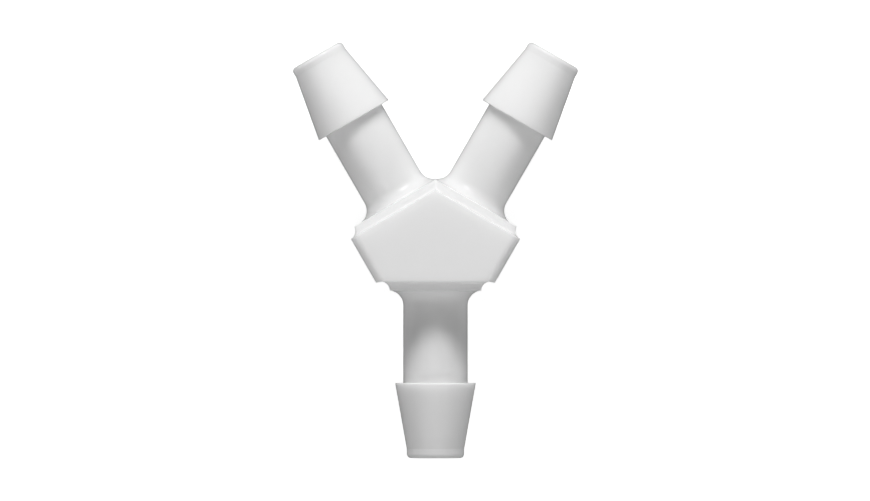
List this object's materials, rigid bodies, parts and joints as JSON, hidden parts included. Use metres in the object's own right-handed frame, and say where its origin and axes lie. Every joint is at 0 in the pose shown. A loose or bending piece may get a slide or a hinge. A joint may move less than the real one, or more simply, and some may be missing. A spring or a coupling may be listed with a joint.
{
  "type": "tubing y connector",
  "caption": "White plastic Y connector for soft tubing, moulded in one piece: a block hub with coved collars and hollow arms that each end in a conical hose barb.",
  "frame": {"origin": "on the hub's flat back face, straight below the point where the arm axes cross; the piece lies on that face", "axes": "+Y away from the stem arm and midway between the fork arms, +X to the right, +Z out of the front face"},
  "size_m": [0.028, 0.0409, 0.0122],
  "materials": {
    "body": "natural white nylon with a soft sheen from the mould"
  },
  "bodies": {
    "root": {"connector_body": "body"}
  },
  "joints": []
}
